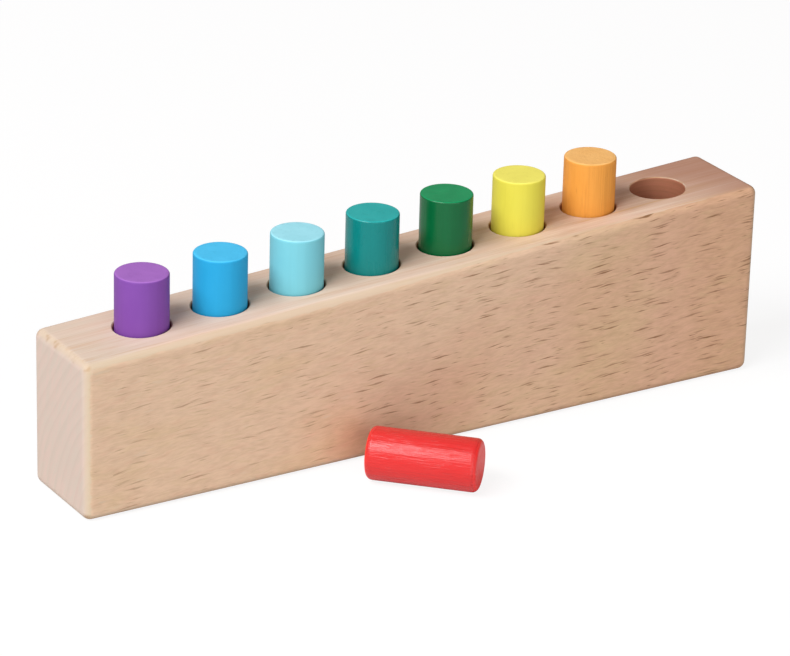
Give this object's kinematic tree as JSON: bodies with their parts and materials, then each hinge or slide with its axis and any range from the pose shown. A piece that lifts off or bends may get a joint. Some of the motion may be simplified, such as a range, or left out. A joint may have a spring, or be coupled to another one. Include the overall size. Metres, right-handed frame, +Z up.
{
  "type": "wooden peg block",
  "caption": "Wedge-shaped beech block with a row of blind round holes along its top and plain painted dowel pegs that lift out; the last hole is empty and its shorter peg lies in front.",
  "frame": {"origin": "middle of the block's flat underside", "axes": "+X along the row of holes towards the block's high end, +Y to the back, +Z up along the holes"},
  "size_m": [0.1744, 0.0544, 0.0563],
  "materials": {
    "beech": "sanded, thin matt oil",
    "paint_purple": "wooden dowel, satin paint with the grain showing",
    "paint_blue": "wooden dowel, satin paint with the grain showing",
    "paint_light_blue": "wooden dowel, satin paint with the grain showing",
    "paint_teal": "wooden dowel, satin paint with the grain showing",
    "paint_green": "wooden dowel, satin paint with the grain showing",
    "paint_yellow": "wooden dowel, satin paint with the grain showing",
    "paint_orange": "wooden dowel, satin paint with the grain showing",
    "paint_red": "wooden dowel, satin paint with the grain showing"
  },
  "bodies": {
    "block": {"block": "beech"},
    "peg_purple": {"peg_purple": "paint_purple"},
    "peg_blue": {"peg_blue": "paint_blue"},
    "peg_light_blue": {"peg_light_blue": "paint_light_blue"},
    "peg_teal": {"peg_teal": "paint_teal"},
    "peg_green": {"peg_green": "paint_green"},
    "peg_yellow": {"peg_yellow": "paint_yellow"},
    "peg_orange": {"peg_orange": "paint_orange"},
    "peg_red": {"peg_red": "paint_red"}
  },
  "joints": [
    {"name": "purple_lift", "type": "slide", "parent": "block", "child": "peg_purple", "axis": [0, 0, 1], "range_m": [0, 0.04]},
    {"name": "blue_lift", "type": "slide", "parent": "block", "child": "peg_blue", "axis": [0, 0, 1], "range_m": [0, 0.04]},
    {"name": "light_blue_lift", "type": "slide", "parent": "block", "child": "peg_light_blue", "axis": [0, 0, 1], "range_m": [0, 0.04]},
    {"name": "teal_lift", "type": "slide", "parent": "block", "child": "peg_teal", "axis": [0, 0, 1], "range_m": [0, 0.04]},
    {"name": "green_lift", "type": "slide", "parent": "block", "child": "peg_green", "axis": [0, 0, 1], "range_m": [0, 0.04]},
    {"name": "yellow_lift", "type": "slide", "parent": "block", "child": "peg_yellow", "axis": [0, 0, 1], "range_m": [0, 0.04]},
    {"name": "orange_lift", "type": "slide", "parent": "block", "child": "peg_orange", "axis": [0, 0, 1], "range_m": [0, 0.04]},
    {"name": "red_lift", "type": "slide", "parent": "block", "child": "peg_red", "axis": [0, 0, 1], "range_m": [0, 0.06]}
  ]
}
